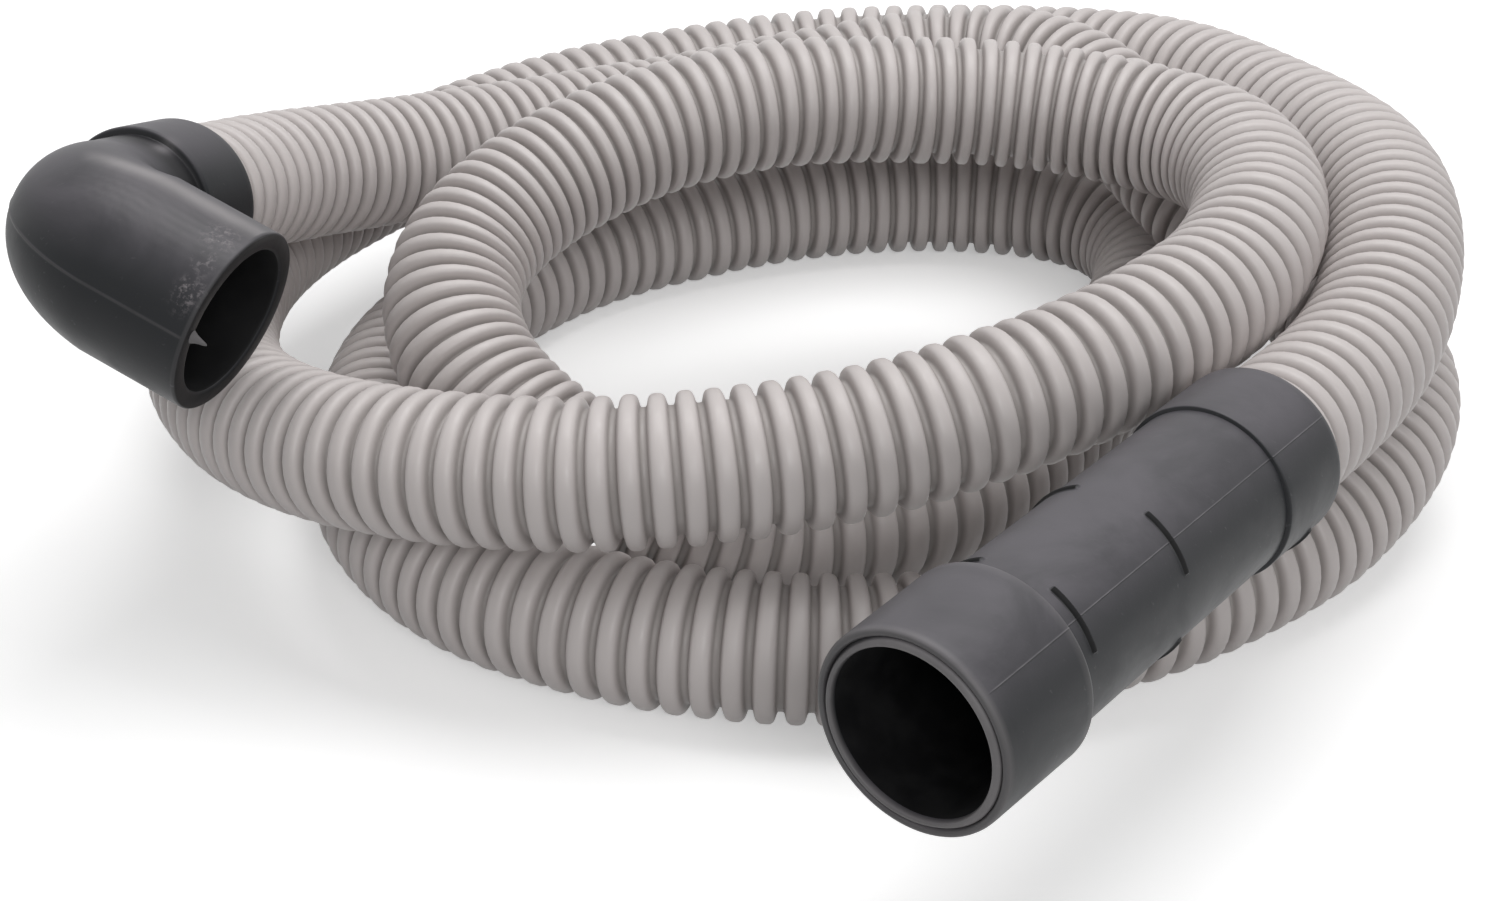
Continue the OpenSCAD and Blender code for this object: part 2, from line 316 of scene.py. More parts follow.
# The control points, in millimetres, and the shift of the whole, as in the CAD source
ROUTE = np.array([
    (79, -205, 83.5), (119, -155, 83.5), (159, -105, 83.5), (199, -55, 83.5),
    (222, 15, 101), (220, 85, 96), (200, 145, 88), (175, 200, 84), (130, 240, 74), (75, 260, 68),
    (15, 265, 64), (-45, 245, 62), (-105, 210, 62), (-155, 165, 58), (-195, 105, 58),
    (-210, 40, 58), (-200, -26, 57), (-166, -82, 66), (-115, -122, 78), (-50, -135, 84),
    (10, -125, 86), (65, -110, 92), (112, -82, 102), (155, -40, 106), (173, 13, 108),
    (165, 65, 112), (115, 95, 114), (50, 100, 118), (-25, 80, 116), (-75, 50, 108),
    (-115, 10, 92), (-115, -35, 74), (-80, -70, 52), (-30, -80, 32), (30, -70, 19), (80, -29, 19),
    (115, 26, 19), (145, 86, 19), (162, 141, 19), (148, 184, 19), (100, 206, 19), (40, 206, 19),
    (-25, 186, 19), (-85, 152, 19), (-120, 103, 19), (-145, 50, 26), (-145, -5, 26),
    (-140, -60, 19), (-95, -113, 19), (-35, -139, 19), (30, -144, 19), (95, -129, 19),
    (160, -92, 19), (215, -39, 36), (225, 12, 47), (202, 60, 50), (166, 99, 66), (146, 142, 89),
    (120, 178, 98), (88, 198, 96), (40, 198, 86), (-15, 175, 80), (-82, 135, 84), (-140, 87, 92),
    (-183, 41, 105), (-196, -3, 118), (-209, -47, 131), (-222, -91, 144)], float) + (-0.5, 0, 0)
STEPS = 24    # points of the line for each control point

# Rib pitch by number of the control point, counted from 0: close in sharp bends, wide where the hose runs free
PITCH = np.array([
    (1, 8.8), (2.2, 9.4), (2.9, 8.8), (3.2, 8.0), (3.6, 7.0), (4.0, 7.1), (4.5, 9.3), (5, 10.1),
    (6, 9.8), (8, 9.7), (11, 10.0), (12, 9.3), (12.6, 7.8), (13.4, 7.5), (14.2, 8.9), (16, 8.8),
    (17.7, 8.4), (18.3, 8.2), (19, 8.6), (19.8, 9.3), (20.5, 9.35), (21.3, 8.95), (22, 8.4),
    (23.2, 8.0), (24.2, 8.45), (25, 8.35), (25.4, 7.4), (26, 7.45), (26.6, 8.2), (28.1, 8.3),
    (28.8, 7.35), (29.3, 6.8), (30, 6.9), (31.8, 6.8), (33.2, 8.8), (34, 10.3), (38.7, 10.4),
    (39.6, 10.2), (40, 9.75), (42.4, 9.75), (43.2, 10.5), (43.8, 10.2), (45.5, 7.5), (47.5, 8.35),
    (48.4, 8.7), (49.1, 9.05), (50.5, 9.2), (51.5, 9.7), (52, 9.1), (52.6, 7.5), (53.2, 6.9),
    (57, 7.0), (58.5, 7.6), (60, 9.6), (61, 8.8), (61.6, 8.1), (62.4, 7.9), (63.1, 7.3),
    (63.6, 7.8), (64.3, 9.2), (66, 8.9)])

# How far some runs hang below the CAD's line, or above it where negative, by control point
LOWERED = np.array([
    (17.8, 0), (18.8, 1.6), (20.0, 1.6), (21.0, 0.4), (21.9, 2.8), (22.8, 2.8), (23.4, 0), (24.2, 0),
    (25.4, 4.4), (26.9, 4.6), (27.7, 1.0), (28.4, 0), (38.6, 0), (39.4, -2.0), (41.5, -2.0),
    (42.2, 0), (47.8, 0), (48.4, -2.0), (49.4, -1.8), (50.5, -0.7), (51.4, 0), (56.2, 0),
    (57.2, 5.0), (59.0, 5.0), (60.6, 0)])

FLOOR_LIFT, LOW_RUN, LOW_FADE = 3.0, 26.0, 6


def curve(points):
    """A uniform cubic B-spline that follows the points, from the second to the last but one."""
    f = np.arange(STEPS) / STEPS
    weights = [(1 - f) ** 3, 3 * f ** 3 - 6 * f * f + 4, 3 * f + 3 * f * f - 3 * f ** 3 + 1, f ** 3]
    w = np.stack(weights, 1) / 6
    spans = [w @ points[i:i + 4] for i in range(len(points) - 3)]
    return np.concatenate(spans + [points[-2:-1]])


def on_its_ribs(line):
    """Lifts the runs on the floor: the CAD cuts the hose flat there, and here it is round."""
    near = np.clip((LOW_RUN - line[:, 2]) / LOW_FADE, 0, 1)
    return line + np.stack([0 * near, 0 * near, FLOOR_LIFT * near * near * (3 - 2 * near)], 1)


LINE = on_its_ribs(curve(ROUTE))
INDEX = np.arange(len(LINE)) / STEPS + 1
LINE[:, 2] -= np.interp(INDEX, LOWERED[:, 0], LOWERED[:, 1])
ALONG = np.concatenate([[0], np.cumsum(np.linalg.norm(np.diff(LINE, axis=0), axis=1))])
HOSE_L = ALONG[-1]


def at(s):
    """Points of the line at lengths along it."""
    return np.stack([np.interp(s, ALONG, LINE[:, k]) for k in range(3)], -1)


# ---------------------------------------------------------------- hose

CREST_R, GROOVE_R, NECK_R, BORE_R, WALL = 24.0, 19.8, 21.0, 18.6, 1.3
SHOULDER_R = 22.4           # the bore's largest radius
FIRST_GROOVE, LAST_GROOVE = 52.0, HOSE_L - 36.5
RIBBED_BORE = 330.0         # the bore follows the ribs this far in from each end
PLAIN_RINGS = 260
SIDES = 36

# Half of a rib: place along the pitch from a groove's middle, and depth, 0 on the crest and 1 in the groove
HALF_RIB = [(0.00, 1.0), (0.085, 0.985), (0.120, 0.88), (0.145, 0.70), (0.168, 0.50), (0.196, 0.33),
            (0.23, 0.205), (0.28, 0.11), (0.34, 0.045), (0.41, 0.01), (0.50, 0.0)]


def rings(stations, radii):
    """Rings square to the route. On the floor a ring's lower half settles, still rounded."""
    s = np.asarray(stations)
    centre = at(s)
    t = unit(at(np.minimum(s + 2, HOSE_L)) - at(np.maximum(s - 2, 0)))
    side = unit(np.cross(t, (0, 0, 1)))
    top = np.cross(side, t)
    a = (np.arange(SIDES) + 0.5) * 2 * np.pi / SIDES
    cos, sin = np.cos(a)[None, :, None], np.sin(a)[None, :, None]
    r = np.asarray(radii)[:, None, None]
    p = centre[:, None] + r * (cos * side[:, None] + sin * top[:, None])
    below = np.maximum(centre[:, None, 2] - p[..., 2], 0)
    spare = np.maximum(CREST_R - centre[:, None, 2], 0)
    p[..., 2] = np.maximum(p[..., 2] + spare * (below / CREST_R) ** 6, 0)
    return p


def groove_places(first, last):
    """Middles of the grooves, from the pitch along the route, for a whole number of ribs."""
    step, reach = 0.5, 60
    s = np.arange(first, last, step)
    pitch = np.interp(np.interp(s, ALONG, INDEX), PITCH[:, 0], PITCH[:, 1])
    window = np.hanning(2 * reach + 1)
    pitch = np.convolve(np.pad(pitch, reach, mode="edge"), window / window.sum(), "valid")
    turn = np.concatenate([[0], np.cumsum(step / pitch)])
    count = round(turn[-1])
    return np.interp(np.arange(count + 1) / count * turn[-1], turn, np.append(s, last))


def hose():
    first, last = FIRST_GROOVE, LAST_GROOVE
    grooves = groove_places(first, last)
    count = len(grooves) - 1
    rib = HALF_RIB + [(1 - place, deep) for place, deep in HALF_RIB[-2:0:-1]]
    # plain ends inside the cuffs: place, radius, depth of groove (which sets the painted groove shade) and
    # tone
    s = [0, 21.5, 22.2, 23.4, first - 2.2, first - 1.2, first - 0.6]
    r = [NECK_R, NECK_R, 23.6, CREST_R, CREST_R, 23.4, 21.5]
    groove, tone = [0] * 5 + [0.1, 0.6], [0.5] * 7
    size = rng.normal(0, 0.07, count + 1)
    shade = np.clip(rng.normal(0.5, 0.22, count + 1), 0, 1)
    depth = CREST_R - GROOVE_R
    for k in range(count):
        for place, deep in rib:
            s.append(grooves[k] + place * (grooves[k + 1] - grooves[k]))
            r.append(CREST_R + size[k] * (1 - deep) - depth * deep)
            groove.append(deep)
            tone.append(shade[k])
    s += [last, last + 1.0, last + 2.0, HOSE_L - 23.4, HOSE_L - 22.2, HOSE_L - 21.5, HOSE_L]
    r += [GROOVE_R, 22.6, CREST_R, CREST_R, 23.6, NECK_R, NECK_R]
    groove += [1, 0.4, 0, 0, 0, 0, 0]
    tone += [0.5] * 7
    r = np.minimum(r, CREST_R)
    outer = rings(s, r)

    # the bore follows the ribs near both ends, where the mouths show it, and is plain between
    def ribbed(places):
        return np.minimum(np.interp(places, s, r) - WALL, SHOULDER_R)

    s_a = np.array([x for x in s if x < RIBBED_BORE - 2][::2])
    s_mid = np.linspace(RIBBED_BORE, HOSE_L - RIBBED_BORE, PLAIN_RINGS)
    s_b = np.array([x for x in s if x > HOSE_L - RIBBED_BORE + 2][::2])
    s_in = np.concatenate([s_a, s_mid, s_b, [HOSE_L]])
    r_in = np.concatenate([ribbed(s_a), np.full(PLAIN_RINGS, BORE_R), ribbed(s_b), [BORE_R]])
    r_in = np.where((s_in < 24) | (s_in > HOSE_L - 24), BORE_R, np.maximum(r_in, BORE_R))
    inner = rings(s_in, r_in)
    n_out, n_in = len(s), len(s_in)
    first_in = n_out * SIDES
    faces = (grid_faces(n_out, SIDES) + grid_faces(n_in, SIDES, first_in, flip=True))
    # the rings that close the wall at both ends
    a, b = (n_out - 1) * SIDES, first_in + (n_in - 1) * SIDES
    for j in range(SIDES):
        k = (j + 1) % SIDES
        faces.append([j, first_in + j, first_in + k, k])
        faces.append([a + j, a + k, b + k, b + j])
    points = np.concatenate([outer.reshape(-1, 3), inner.reshape(-1, 3)]) * MM
    # the bore is given nearly a groove's depth, so it takes the painted groove shade too
    depth_of = np.concatenate([np.repeat(groove, SIDES), np.full(n_in * SIDES, 0.9)])
    tone_of = np.concatenate([np.repeat(tone, SIDES), np.full(n_in * SIDES, 0.3)])
    return mesh_object("hose_ribbed", points, faces, HOSE, sharp=70, groove=depth_of, tone=tone_of)


hose_piece = hose()
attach(hose_piece, "hose_body")
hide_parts("hose")


# ---------------------------------------------------------------- what both cuffs share

PASSAGE_R, HOSE_SPACE_R, SLEEVE_SPACE_R, FLANGE_SPACE_R = 20.0, 24.6, 23.06, 25.36
# The room inside a cuff for the hose's end, the sleeve and its flange: (z, r) towards the mouth
SLEEVE_SPACE = [(-22.0, HOSE_SPACE_R), (-22.0, SLEEVE_SPACE_R), (-8.3, SLEEVE_SPACE_R),
                (-8.3, FLANGE_SPACE_R), (-3.7, FLANGE_SPACE_R), (-3.7, SLEEVE_SPACE_R),
                (6.3, SLEEVE_SPACE_R), (6.3, PASSAGE_R)]


def corner(z, r, arriving, leaving, radius, steps=4):
    """A rounded corner of a profile at (z, r), from the (z, r) directions before and after it."""
    a, b = np.array(arriving, float), np.array(leaving, float)
    t = np.linspace(0, 1, steps + 1)[:, None]
    p = np.array([z, r], float)
    start, end = p - a * radius, p + b * radius
    return ((1 - t) ** 2 * start + 2 * t * (1 - t) * p + t * t * end).tolist()


def runs(profile, step):
    """Adds points along the long straight stretches of a profile."""
    out = [profile[0]]
    for p, q in zip(profile, profile[1:]):
        n = max(1, math.ceil(math.dist(p, q) / step))
        for k in range(1, n + 1):
            out.append([p[0] + (q[0] - p[0]) * k / n, p[1] + (q[1] - p[1]) * k / n])
    return np.array(out)


def finer(values, centres, offsets):
    """Extra values close to some centres, in order and without near doubles."""
    extra = [c + o for c in centres for o in offsets] + [c - o for c in centres for o in offsets]
    extra += list(centres)
    kept = [v for v in values if all(abs(v - c) > max(offsets) * 1.2 for c in centres)]
    return np.array(sorted(kept + extra))


def lathe(name, outer, inner, angles, materials, skin, matrix):
    """A turned ring. The outer and inner profiles are (z, r) from the same end, each with a material.

    skin gives the outside's lift in millimetres, how dark it is with painted shade, and how light it is with
    wear and painted highlights.
    """
    loop = np.concatenate([outer, inner[::-1]])
    lift, mark, pale = (np.zeros((len(loop), len(angles))) for _ in range(3))
    n = len(outer)
    lift[:n], mark[:n], pale[:n] = skin(outer[:, :1], angles[None, :])
    radius = loop[:, 1:] + lift
    p = np.stack([radius * np.cos(angles), radius * np.sin(angles), loop[:, :1] + 0 * radius], -1)
    faces = grid_faces(len(loop), len(angles), close_rows=True)
    ob = mesh_object(name, placed(p, matrix), faces, materials[0], sharp=35, mark=mark, pale=pale)
    # the inside and the faces under a grip arc take the near-black rubber of painted shade
    inside = np.repeat((np.arange(len(loop)) >= n)[:, None], len(angles), 1)
    dark = (mark + np.roll(mark, -1, 0)) / 2
    dark = (dark + np.roll(dark, -1, 1)) / 2
    paint_faces(ob, inside | (dark > 0.5), materials[1])
    return ob


def from_angle(a, centre):
    """How far an angle is from a centre, in degrees."""
    return np.abs(np.degrees(np.angle(np.exp(1j * (a - math.radians(centre))))))


# ---------------------------------------------------------------- straight cuff

STRAIGHT = aim(ROUTE[1], ROUTE[0] - ROUTE[1])
INSERT, CUFF_L, COLLAR_L, CUP_L, SOCKET_L = 45.0, 187.0, 34.0, 40.0, 60
MOUTH_Z = CUFF_L - INSERT
COLLAR_R, BARREL_R, CUP_BACK_R, RIM_R, SOCKET_R = 28.5, 27.2, 30.9, 30.4, 25.1
LIP_R, LIP_RECESS, LIP_L, LIP_GROOVE = 26.7, 0.3, 12.0, 0.6
LIP_OUT = 2.7               # from the rim's outside to the groove round the lip ring

# Short raised arcs, dark on top with painted shade: places back from the mouth and round the barrel, and one
# on the collar
GRIPS, GRIP_ANGLES, GRIP_HALF_W, GRIP_HALF_DEG, GRIP_H = (48.0, 96.0), (45, 135, 225, 315), 1.15, 22.5, 0.9
COLLAR_GRIP, COLLAR_GRIP_ANGLES = -30.0, (45,)
SEAM_ANGLES, SEAM_DEG, SEAM_H = (135, 315), 0.32, 0.14

# The rounded rim, from the cup's side over to the groove round the lip ring
RIM = [(-3.4, 0), (-2.4, -0.08), (-1.6, -0.3), (-1.0, -0.7), (-0.7, -1.2), (-0.65, -1.7),
       (-0.8, -2.1), (-1.15, -2.4), (-1.6, -2.55), (-2.1, -LIP_OUT)]


def straight_cuff():
    c, m = -INSERT, MOUTH_Z
    outer = ([[c, 25.6], [c, COLLAR_R - 6.0]]
             + corner(c, COLLAR_R, (0, 1), (1, 0), 4.2, 8)
             + corner(c + COLLAR_L, COLLAR_R, (1, 0), (0, -1), 0.6, 3)
             + [[c + COLLAR_L + 0.2, BARREL_R], [m - CUP_L - 0.3, BARREL_R + 0.05]]
             + corner(m - CUP_L, CUP_BACK_R, (0, 1), (1, 0), 1.3, 5)
             + [[m + z, RIM_R + r] for z, r in RIM])
    outer = runs(outer, 2.5)
    # rows close together under each grip arc
    fine = [0.25, 0.5, 0.8, 1.1, 1.4, 1.9]
    rows = finer(outer[:, 0], [m - place for place in GRIPS], fine)
    barrel = rows[(rows > c + COLLAR_L + 1) & (rows < m - CUP_L - 1)]
    lower = outer[outer[:, 0] <= c + COLLAR_L + 1]
    flat = (lower[:, 0] > -40) & (lower[:, 0] < -14)
    collar = finer(lower[flat][:, 0], [COLLAR_GRIP], fine)
    before, after = np.argmax(lower[:, 0] > -40), np.argmax(lower[:, 0] >= -14)
    upper = outer[np.argmax(outer[:, 0] >= m - CUP_L - 1):]
    outer = np.concatenate([lower[:before], [[z, COLLAR_R] for z in collar], lower[after:],
                            [[z, BARREL_R] for z in barrel], upper])
    groove, foot = LIP_R + LIP_GROOVE, m - LIP_RECESS - LIP_L
    inner = np.array([(c, HOSE_SPACE_R)] + SLEEVE_SPACE
                     + [(m - SOCKET_L, PASSAGE_R), (m - SOCKET_L, SOCKET_R), (foot, SOCKET_R),
                        (foot, groove), (m - 3.8, groove), (m - 3.8, RIM_R - LIP_OUT)])
    angles = finer(np.arange(0, 360, 1.5) * math.pi / 180, np.radians(SEAM_ANGLES),
                   np.radians([0.25, 0.5, 0.8, 1.2]))
    arcs = [(m - place, GRIP_ANGLES) for place in GRIPS] + [(COLLAR_GRIP, COLLAR_GRIP_ANGLES)]

    def skin(z, a):
        ridge, line = 0 * z * a, 0 * z * a
        for middle, places in arcs:
            across = np.clip(1 - ((z - middle) / GRIP_HALF_W) ** 2, 0, 1)
            for place in places:
                along = np.clip((GRIP_HALF_DEG - from_angle(a, place)) / 1.6, 0, 1)
                ridge = np.maximum(ridge, np.sqrt(across * along))
        for place in SEAM_ANGLES:
            line = line + np.exp(-(from_angle(a, place) / SEAM_DEG) ** 2)
        line = line * ((z > c + 2) & (z < m - 4))
        # the parting line is lightened here and there with wear and a painted highlight, and so are the rim
        # and the cup's back edge
        patchy = 0.35 + 0.3 * np.sin(z * 0.9) * np.sin(z * 0.23 + 1)
        rim = 1.3 * np.exp(-((z - m + 1.3) / 1.3) ** 2)
        rim = rim + 0.8 * np.exp(-((z - m + CUP_L - 0.9) / 0.6) ** 2)
        pale = np.clip(0.5 * patchy * line + 0.28 * rim, 0, 1)
        # the second value darkens the grip arcs with painted shade
        return GRIP_H * ridge + SEAM_H * line, np.clip(ridge * 1.4, 0, 1), pale

    return lathe("straight_cuff_rubber", outer, inner, angles, (CUFF, SHADE_RUBBER), skin, STRAIGHT)


straight = straight_cuff()
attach(straight, "straight_cuff_body")
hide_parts("straight_cuff")


# ---------------------------------------------------------------- lip ring

# A foot that closes the groove and a bead that stands a little proud of the rim, from LIP_R and the top.
# The last value is how far the bead reaches out towards the upper right, where it fills the groove.
BEAD = [(-2.3, 0.90, 0), (-1.8, 0.86, 0.1), (-1.6, 0.62, 0.34), (-1.3, 0.44, 0.58), (-0.9, 0.30, 0.68),
        (-0.4, 0.12, 0.68), (0.0, -0.15, 0.56), (0.25, -0.50, 0.34), (0.27, -0.85, 0.14), (0.10, -1.22, 0),
        (-0.3, -1.48, 0), (-1.1, -1.60, 0)]
FULL_SIDE = math.radians(125)


def lip_ring():
    top = MOUTH_Z - LIP_RECESS
    low = top - LIP_L
    outer = np.array([[low, LIP_R], [top - 3.0, LIP_R]] + [[top + z, LIP_R + r] for z, r, _ in BEAD])
    inner = np.array([[low, SOCKET_R], [top - 6, SOCKET_R], [top - 2.0, SOCKET_R]])
    outward = np.array([0, 0] + [out for _, _, out in BEAD])[:, None]

    def skin(z, a):
        snug = np.clip((np.cos(a - FULL_SIDE) + 0.35) / 0.8, 0, 1)
        snug = snug * snug * (3 - 2 * snug)
        # painted highlight: the bead is lighter towards its top and towards the upper right
        pale = np.clip((z - top + 1.9) / 1.4, 0.25, 1) * (0.5 + 0.12 * snug)
        return outward * snug, 0 * z * a, pale

    angles = np.arange(192) * 2 * math.pi / 192
    return lathe("cup_lip_rubber", outer, inner, angles, (LIP, SHADE_RUBBER), skin, STRAIGHT)


lip = lip_ring()
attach(lip, "straight_cuff_body")
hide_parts("cup_lip_ring")


# ---------------------------------------------------------------- elbow cuff

# In the elbow's own frame the hose comes in along +Z, and the arm leaves along +X at the corner's height
ELBOW_FRAME = aim(ROUTE[-2], ROUTE[-1] - ROUTE[-2], 69)
CORNER, ARM_L, ARM_R, BEND_R, NECK_OUT_R = 42.0, 61.0, 30.4, 23.5, 25.0
ELBOW_COLLAR_R, FRONT, REAR, ELBOW_SOCKET_R, ELBOW_SOCKET_L = 27.6, 2.0, -30.0, 24.4, 32
ELBOW_SEAM_H, ELBOW_SEAM_W = 0.2, 0.4
PIVOT, PIVOT_R = np.array([40.0, 0, 2.0]), 40    # the skin's rays turn about this round the bend


def smooth_min(a, b, k):
    h = np.maximum(k - np.abs(a - b), 0) / k
    return np.minimum(a, b) - h * h * k / 4


def rounded_cylinder(radial, along, r, low, high, edge):
    """Distance to a cylinder with rounded ends, from how far off and along its axis a point is."""
    dx = radial - r + edge
    dz = np.abs(along - (low + high) / 2) - (high - low) / 2 + edge
    return np.minimum(np.maximum(dx, dz), 0) + np.hypot(np.maximum(dx, 0), np.maximum(dz, 0)) - edge


def elbow_outside(p):
    """Distance to the elbow's outer shape: arm, heel that narrows into the neck, and collar."""
    far = 1e3
    x, y, z = p[..., 0], p[..., 1], p[..., 2]
    arm = rounded_cylinder(np.hypot(y, z - CORNER), x, ARM_R, -5 + BEND_R, ARM_L, 0.8)
    arm = np.where(x < BEND_R + 2, np.hypot(y, z - CORNER) - ARM_R + far * (x < BEND_R), arm)
    angle = np.clip(np.arctan2(z - CORNER + BEND_R, BEND_R - x), 0, math.pi / 2)
    cx, cz = BEND_R - BEND_R * np.cos(angle), CORNER - BEND_R + BEND_R * np.sin(angle)
    share = angle / (math.pi / 2)
    heel_r = NECK_OUT_R + (ARM_R - NECK_OUT_R) * share
    heel = np.sqrt((x - cx) ** 2 + y ** 2 + (z - cz) ** 2) - heel_r
    neck = np.hypot(x, y) - NECK_OUT_R + far * (z > CORNER - BEND_R)
    body = np.minimum(heel, smooth_min(arm, neck, 5.0))
    collar = rounded_cylinder(np.hypot(x, y), z, ELBOW_COLLAR_R, REAR, FRONT, 1.2)
    back = rounded_cylinder(np.hypot(x, y), z, ELBOW_COLLAR_R, REAR, FRONT + 40, 4.2)
    collar = np.maximum(collar, back)
    return smooth_min(body + far * (z < REAR + 2), collar, 1.0)


def elbow_skin(psi):
    """Points of the outside, found along rays from the middle line, with how dark and pale they are."""
    up_collar = np.concatenate([REAR + np.array([0.02, 0.1, 0.4, 0.9, 1.6, 2.6, 4.0]),
                                np.linspace(REAR + 6, FRONT - 3, 9),
                                FRONT - np.array([1.6, 1.0, 0.6, 0.35, 0.15])])
    round_bend = np.radians(np.concatenate([[0.0, 0.3, 0.7, 1.2, 2.0, 3.0], np.linspace(4.5, 90, 52)]))
    along_arm = np.concatenate([np.linspace(42, ARM_L - 3, 12),
                                ARM_L - np.array([1.6, 1.0, 0.5, 0.15, 0.02])])
    outwards = [np.array([-math.cos(a), 0, math.sin(a)]) for a in round_bend]
    centres = ([(0, 0, z) for z in up_collar] + [PIVOT + PIVOT_R * out for out in outwards]
               + [(x, 0, CORNER) for x in along_arm])
    ups = [(-1, 0, 0) for _ in up_collar] + outwards + [(0, 0, 1) for _ in along_arm]
    centres, ups = np.array(centres, float), np.array(ups, float)
    cos, sin = np.cos(psi)[None, :, None], np.sin(psi)[None, :, None]
    direction = cos * ups[:, None] + sin * SIDEWAYS
    low, high = np.zeros(direction.shape[:2]), np.full(direction.shape[:2], 60.0)
    for _ in range(26):
        middle = (low + high) / 2
        outside = elbow_outside(centres[:, None] + middle[..., None] * direction) > 0
        low, high = np.where(outside, low, middle), np.where(outside, middle, high)
    skin = centres[:, None] + low[..., None] * direction
    # parting line in the plane of both axes
    seam = np.exp(-(skin[..., 1] / ELBOW_SEAM_W) ** 2)
    seam[:3] = 0
    seam[-4:] = 0
    skin = skin + ELBOW_SEAM_H * seam[..., None] * direction
    # the recess in front of the collar is darkened with painted shade, save for a painted highlight on the
    # neck; the edge beside it gets a painted reflection, the parting line, a streak along the arm and the rows
    # at the mouth's edge get painted highlights, and the mouth's face is darkened with painted shade
    x, y, z = skin[..., 0], skin[..., 1], skin[..., 2]
    recess_shade = np.clip((z - FRONT + 0.2) / 0.4, 0, 1) * np.clip((18 - z) / 8, 0, 1)
    recess_shade = recess_shade * (np.hypot(x, y) < 29)
    highlight_patch = np.exp(-((x - 2.8) / 3) ** 2 - ((z - 5.5) / 5) ** 2) * (y > 0)
    edge = np.exp(-((z - CORNER - 2.5) / 4.5) ** 2) * np.clip((y - 24) / 4, 0, 1)
    edge = edge * np.clip((x + 22) / 14, 0, 1)
    around = np.degrees(np.arctan2(y, z - CORNER))
    highlight_streak = np.exp(-((around - 58) / 15) ** 2) * np.clip((x - 2) / 14, 0, 1)
    highlight_streak = highlight_streak * (0.7 + 0.3 * np.sin(around * 1.1))
    mark = 0.85 * recess_shade * (1 - highlight_patch)
    mark[-1] = 0.9
    pale = np.clip(0.16 * seam + 0.4 * highlight_patch + 0.9 * edge + 0.2 * highlight_streak, 0, 1)
    pale[-4:-1] = 0.12
    return skin, mark, pale


def elbow_inside(psi):
    """Rings of the mouth's face, the socket, the passage round the bend and the sleeve's room."""
    def ring(centre, up, radius):
        c, u = np.array(centre, float), np.array(up, float)
        return c + radius * (np.cos(psi)[:, None] * u + np.sin(psi)[:, None] * SIDEWAYS)

    deep, wide = ELBOW_SOCKET_L, ELBOW_SOCKET_R
    mouth = [(0, 27.5), (0, 25.6), (0.15, 25.0), (0.7, 24.5), (1.6, wide), (8, wide), (16, wide), (24, wide),
             (deep - 0.6, wide), (deep, 23.8), (deep, 20.4), (deep + 0.6, PASSAGE_R)]
    rows = [ring((ARM_L - back, 0, CORNER), (0, 0, 1), r) for back, r in mouth]
    for a in np.radians(np.linspace(90, 0, 19)):
        out = np.array([-math.cos(a), 0, math.sin(a)])
        rows.append(ring(np.array([BEND_R, 0, CORNER - BEND_R]) + BEND_R * out, out, PASSAGE_R))
    rear = [(REAR + 0.4, HOSE_SPACE_R), (REAR, 25.0)]
    for z, r in [(12, PASSAGE_R)] + SLEEVE_SPACE[::-1] + rear:
        rows.append(ring((0, 0, z), (-1, 0, 0), r))
    return np.array(rows)


def nub():
    """Rings of the torn flash that stands on the mouth's edge at the end of the parting line."""
    root, tip = np.array([60.4, 0.2, 67.6]), np.array([65.6, -0.6, 66.2])
    spokes = np.arange(10) * 2 * math.pi / 10
    round_it = (np.cos(spokes)[:, None] * np.array([0, 1.0, 0.15])
                + np.sin(spokes)[:, None] * np.array([0.2, -0.1, 0.7]))
    sizes = ((0.0, 2.6), (0.15, 2.2), (0.35, 1.5), (0.6, 1.0), (0.85, 0.65), (1.0, 0.25))
    return np.array([root + (tip - root) * t + r * round_it for t, r in sizes])


def elbow():
    n = 128
    psi = finer(np.arange(n) * 2 * math.pi / n, [0.0, math.pi], np.radians([0.4, 0.8, 1.3, 2.0]))
    psi = np.unique(np.round(psi % (2 * math.pi), 6))
    skin, mark, pale = elbow_skin(psi)
    inside = elbow_inside(psi)
    points = np.concatenate([skin, inside])
    face_mark, plain = np.zeros(inside.shape[:2]), np.zeros(inside.shape[:2])
    # painted shade on the mouth's flat face
    face_mark[:2] = 0.9
    cone = nub()
    count, first = cone.shape[1], points.shape[0] * points.shape[1]
    faces = grid_faces(len(points), len(psi), close_rows=True) + grid_faces(len(cone), count, first=first)
    root_ring = first + np.arange(count)
    faces += [root_ring[::-1].tolist(), (root_ring + count * (len(cone) - 1)).tolist()]
    mark_of = np.concatenate([mark.ravel(), face_mark.ravel(), np.full(count * len(cone), 0.0)])
    pale_of = np.concatenate([pale.ravel(), plain.ravel(), np.full(count * len(cone), 0.7)])
    places = placed(np.concatenate([points.reshape(-1, 3), cone.reshape(-1, 3)]), ELBOW_FRAME)
    ob = mesh_object("elbow_cuff_rubber", places, faces, ELBOW, sharp=40, mark=mark_of, pale=pale_of)
    # past the mouth's flat face the rows are inside, and take the near-black rubber of painted shade
    inner_rows = np.arange(len(points))[:, None] > len(skin) + 2
    paint_faces(ob, np.repeat(inner_rows, len(psi), 1), SHADE_RUBBER)
    return ob


elbow_piece = elbow()
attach(elbow_piece, "elbow_cuff_body")
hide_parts("elbow_cuff")


# ---------------------------------------------------------------- the CAD's sleeves

for name in ("straight_end_sleeve", "elbow_end_sleeve"):
    for slot in bpy.data.objects[name].material_slots:
        slot.material = SLEEVE


# ---------------------------------------------------------------- floor and light

WHITE = (1, 1, 1, 1)
FLOOR_R, FLOOR_GLOW = 6.0, 0.38


def seen_or_mirrored(tree):
    """1 for camera rays and reflections, which meet a white backdrop. Other rays meet a plain grey."""
    path = node(tree, "ShaderNodeLightPath").outputs
    return math_node(tree, "MAXIMUM", path["Is Camera Ray"], path["Is Glossy Ray"])


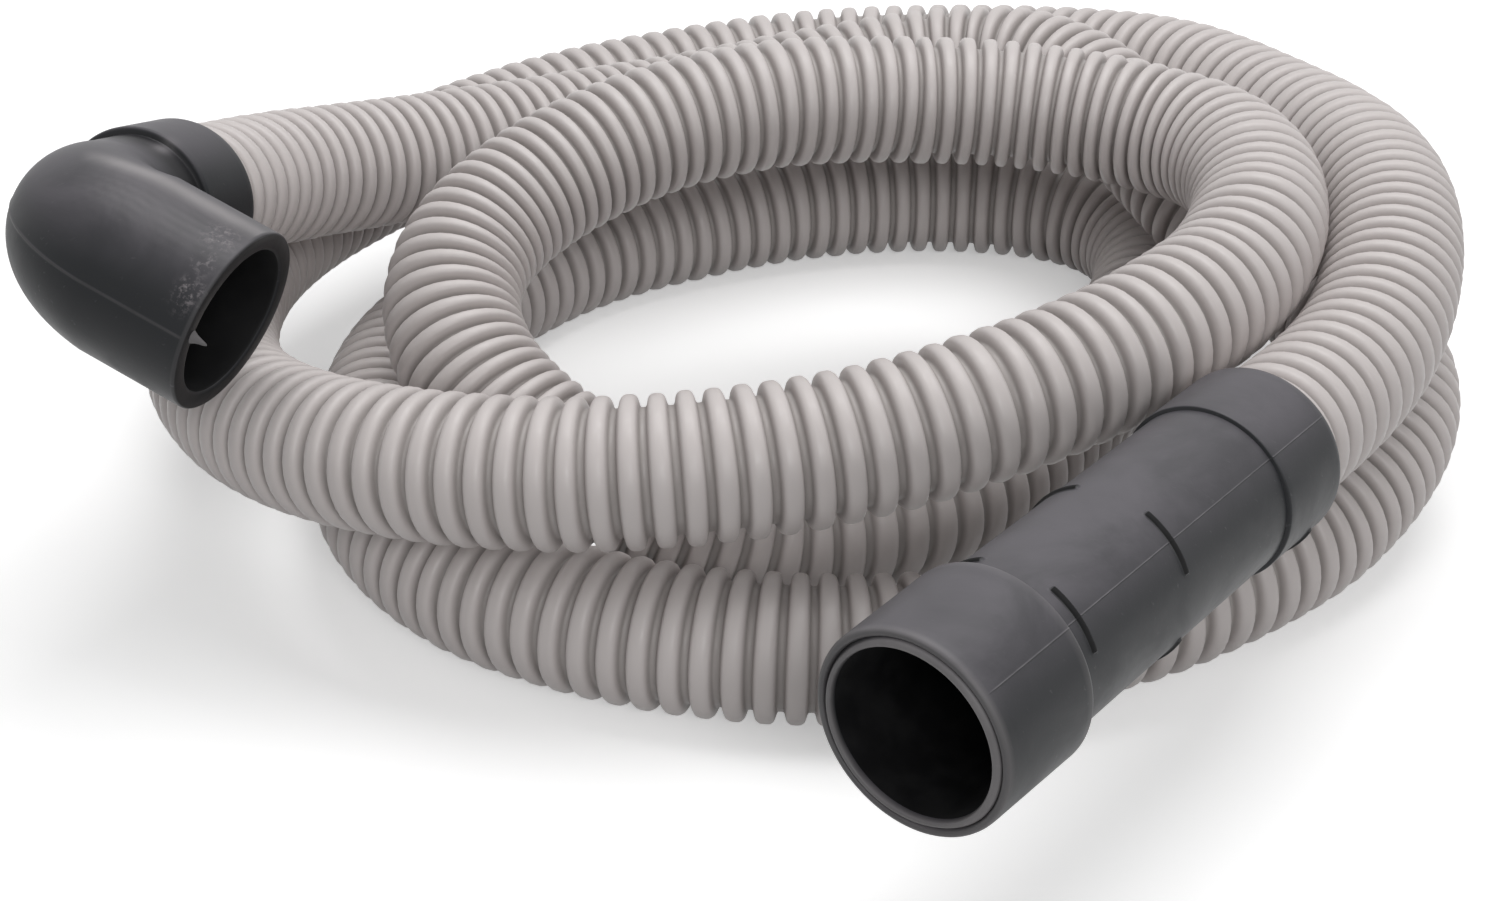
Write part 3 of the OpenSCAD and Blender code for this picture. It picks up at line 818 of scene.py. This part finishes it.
def floor():
    mat, tree, bsdf = shader("floor_white", (0.45, 0.45, 0.45), 0.9, Specular_IOR_Level=0.0)
    seen = node(tree, "ShaderNodeBsdfDiffuse", inputs={"Color": (0.90, 0.90, 0.90, 1)})
    # far from the object, where little light reaches it, the floor shows as white as the backdrop
    by_camera = node(tree, "ShaderNodeLightPath").outputs["Is Camera Ray"]
    rise = remap(tree, length(tree, object_place(tree)), 0.95, 2.2, 0.0, 1 - FLOOR_GLOW)
    strength = math_node(tree, "ADD", math_node(tree, "MULTIPLY", rise, by_camera), FLOOR_GLOW)
    glow = node(tree, "ShaderNodeEmission", {"Strength": strength}, {"Color": WHITE})
    both = node(tree, "ShaderNodeAddShader", {0: seen.outputs[0], 1: glow.outputs[0]})
    pick = node(tree, "ShaderNodeMixShader",
                {0: seen_or_mirrored(tree), 1: bsdf.outputs[0], 2: both.outputs[0]})
    tree.links.new(pick.outputs[0], tree.nodes["Material Output"].inputs["Surface"])
    sides = 64
    a = np.arange(sides) * 2 * math.pi / sides
    points = np.stack([FLOOR_R * np.cos(a), FLOOR_R * np.sin(a), np.zeros(sides)], 1)
    ob = mesh_object("floor", points, [list(range(sides))], mat)


def lamp(name, place, target, size, power):
    data = bpy.data.lights.new(name, "AREA")
    data.shape = "RECTANGLE"
    data.size, data.size_y = size
    data.energy = power
    ob = bpy.data.objects.new(name, data)
    bpy.context.scene.collection.objects.link(ob)
    ob.location = place
    ob.rotation_euler = (Vector(target) - Vector(place)).to_track_quat("-Z", "Y").to_euler()


def backdrop():
    world = bpy.data.worlds.new("studio")
    world.use_nodes = True
    tree = world.node_tree
    light = tree.nodes["Background"]
    light.inputs["Color"].default_value = WHITE
    light.inputs["Strength"].default_value = 0.30
    sky = node(tree, "ShaderNodeBackground", inputs={"Color": WHITE, "Strength": 1.0})
    pick = node(tree, "ShaderNodeMixShader",
                {0: seen_or_mirrored(tree), 1: light.outputs[0], 2: sky.outputs[0]})
    tree.links.new(pick.outputs[0], tree.nodes["World Output"].inputs["Surface"])
    bpy.context.scene.world = world


floor()
lamp("key", (0.15, 0.30, 1.7), (0, 0, 0), (1.4, 1.1), 18.5)
lamp("front_fill", (0.35, -2.0, 1.3), (0, 0, 0.05), (0.9, 0.6), 14)
backdrop()

bpy.context.scene.view_settings.view_transform = "Standard"
